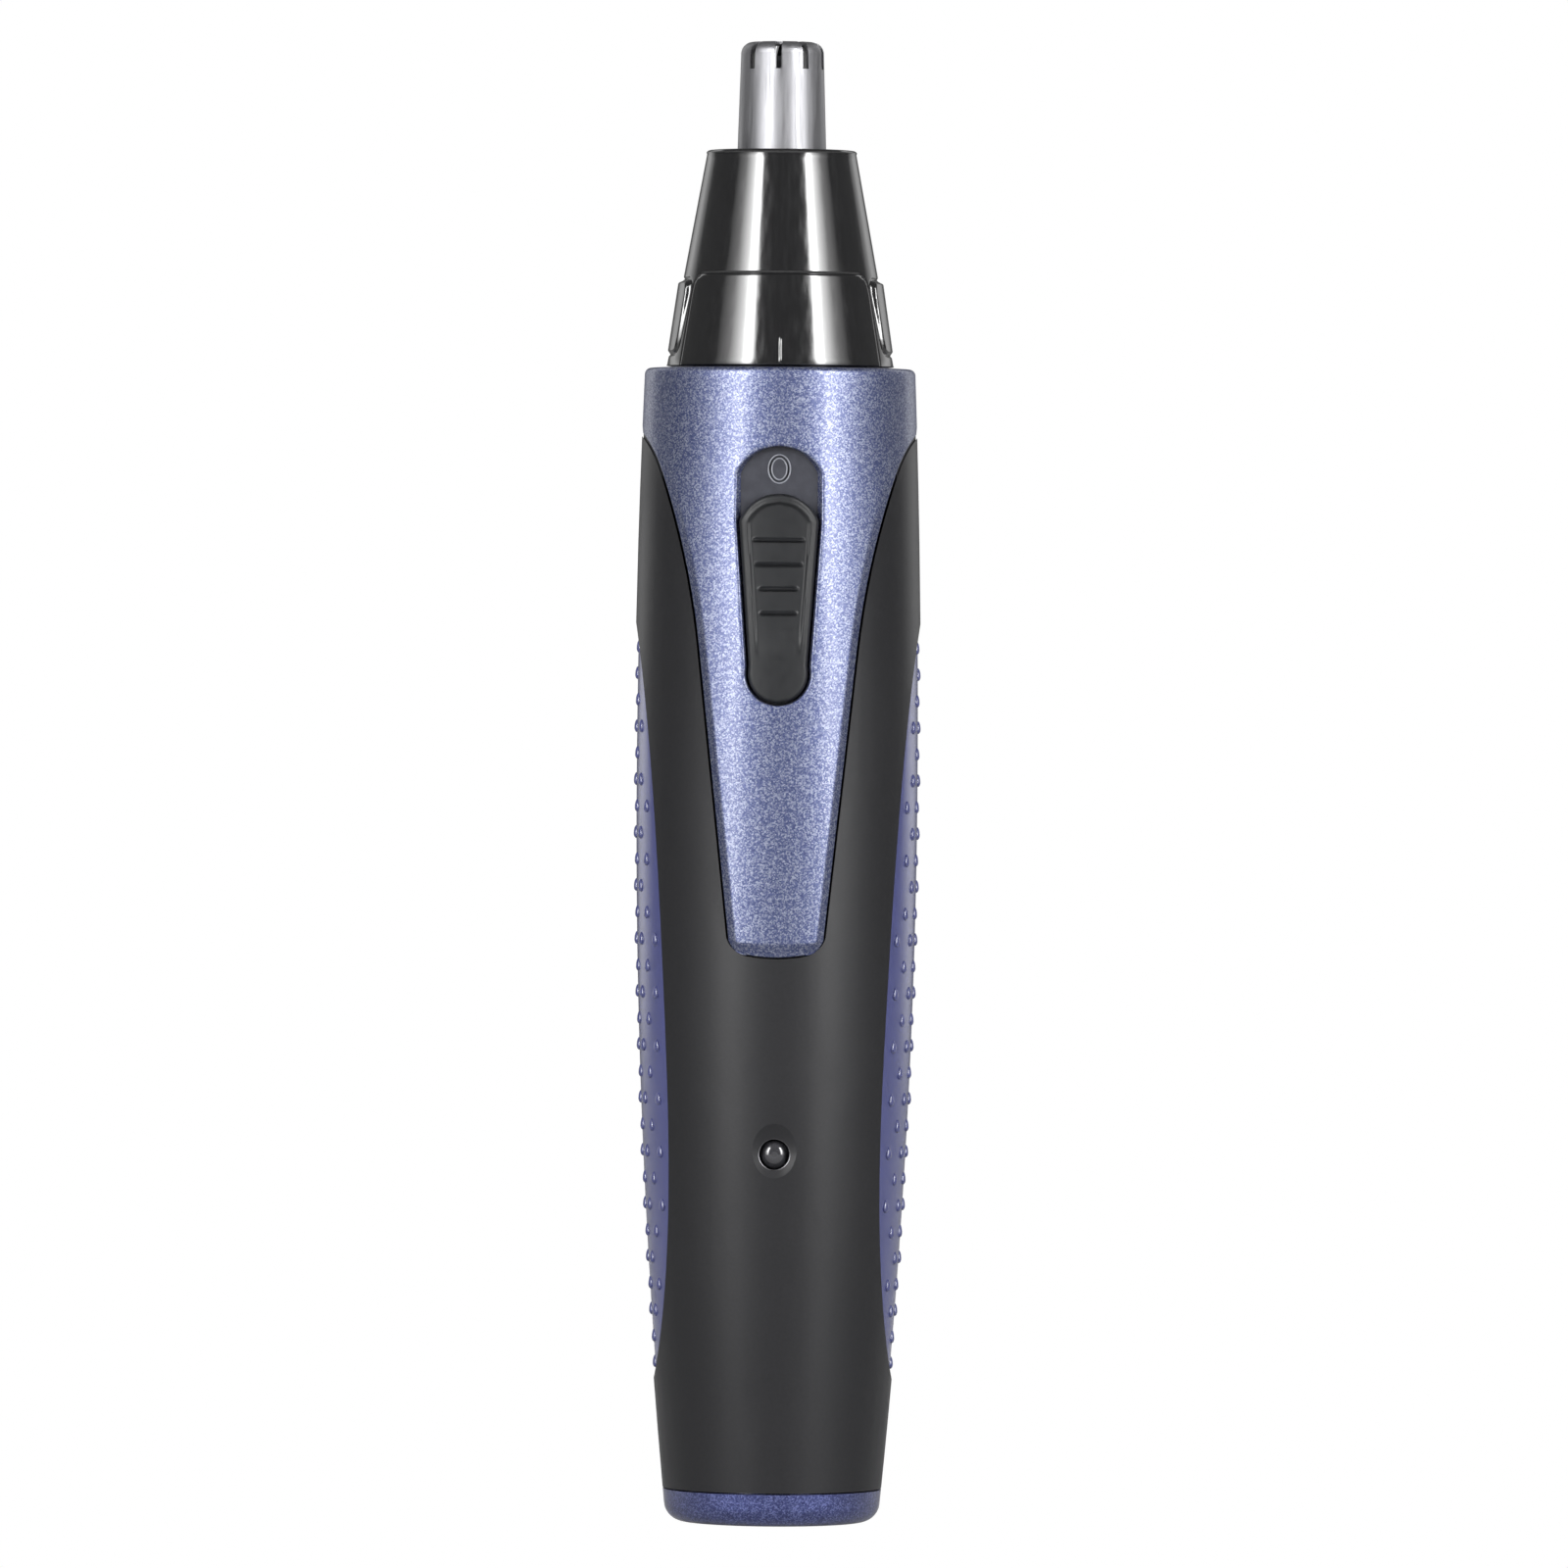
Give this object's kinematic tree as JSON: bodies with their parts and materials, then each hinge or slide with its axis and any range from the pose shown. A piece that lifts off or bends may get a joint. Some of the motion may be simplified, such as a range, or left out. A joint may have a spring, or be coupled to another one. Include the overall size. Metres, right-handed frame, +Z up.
{
  "type": "nose hair trimmer",
  "caption": "Pen-shaped rechargeable trimmer: tapered grip handle with thumb slide switch, twist-off cone head and slotted guard tube over a spinning blade.",
  "frame": {"origin": "middle of the foot, on the surface that the trimmer stands on", "axes": "+Z up along the handle to the cutting tip, -Y to the front where the thumb switch is, +X to the right seen from the front"},
  "size_m": [0.029, 0.03, 0.15],
  "materials": {
    "soft_touch_black": "soft-touch coating over moulded ABS",
    "metallic_blue": "metallic flake paint on ABS",
    "grip_violet": "moulded elastomer",
    "gloss_black": "moulded, polished",
    "switch_black": "moulded, satin",
    "white_plastic": "moulded acetal",
    "dark_plastic": "moulded nylon",
    "steel": "brushed",
    "plated_steel": "zinc plated",
    "bronze": "sintered bronze",
    "copper": "bare copper and brass",
    "magnet": "sintered ferrite",
    "battery_wrap": "shrink film over a steel can",
    "board_green": "solder mask on glass fibre",
    "led_lens": "smoked epoxy",
    "rubber_black": "moulded",
    "lead_red": "insulated wire",
    "lead_black": "insulated wire"
  },
  "bodies": {
    "handle": {"front_housing": "soft_touch_black", "rear_housing": "soft_touch_black", "top_sleeve": "metallic_blue", "left_grip": "grip_violet", "right_grip": "grip_violet", "bottom_cap": "metallic_blue", "switch_plate": "switch_black", "neck": "dark_plastic", "motor_can": "plated_steel", "motor_magnets": "magnet", "motor_end_cap": "dark_plastic", "motor_brushes": "copper", "motor_bearings": "bronze", "motor_screws": "plated_steel", "shaft_seal": "rubber_black", "housing_screws": "plated_steel", "battery_cell": "battery_wrap", "battery_tags": "plated_steel", "circuit_board": "board_green", "board_parts": "dark_plastic", "charge_led": "led_lens", "charge_socket": "dark_plastic", "switch_contacts": "copper", "red_leads": "lead_red", "black_leads": "lead_black"},
    "switch": {"switch_button": "switch_black", "switch_carrier": "white_plastic", "switch_bridge": "copper"},
    "armature": {"motor_shaft": "steel", "armature_core": "plated_steel", "armature_windings": "copper", "commutator": "copper", "drive_coupler": "white_plastic"},
    "cutter_insert": {"blade_retainer": "white_plastic"},
    "head": {"head_cone": "gloss_black", "guard_tube": "steel", "tube_ring": "dark_plastic"},
    "blade": {"blade_stem": "white_plastic", "inner_blade": "steel", "blade_spring": "plated_steel"}
  },
  "joints": [
    {"name": "switch_slide", "type": "slide", "parent": "handle", "child": "switch", "axis": [0, 0, 1], "range_m": [0, 0.0044]},
    {"name": "motor_spin", "type": "hinge", "parent": "handle", "child": "armature", "pos_m": [0, 0, 0.1], "axis": [0, 0, 1], "continuous": true},
    {"name": "head_lift", "type": "slide", "parent": "handle", "child": "cutter_insert", "axis": [0, 0, 1], "range_m": [0, 0.03]},
    {"name": "head_twist", "type": "hinge", "parent": "cutter_insert", "child": "head", "pos_m": [0, 0, 0.12], "axis": [0, 0, 1], "range_deg": [0, 25]},
    {"name": "blade_spin", "type": "hinge", "parent": "cutter_insert", "child": "blade", "pos_m": [0, 0, 0.13], "axis": [0, 0, 1], "continuous": true}
  ],
  "couplings": [
    {"joint": "blade_spin", "follows": "motor_spin", "ratio": 1}
  ]
}
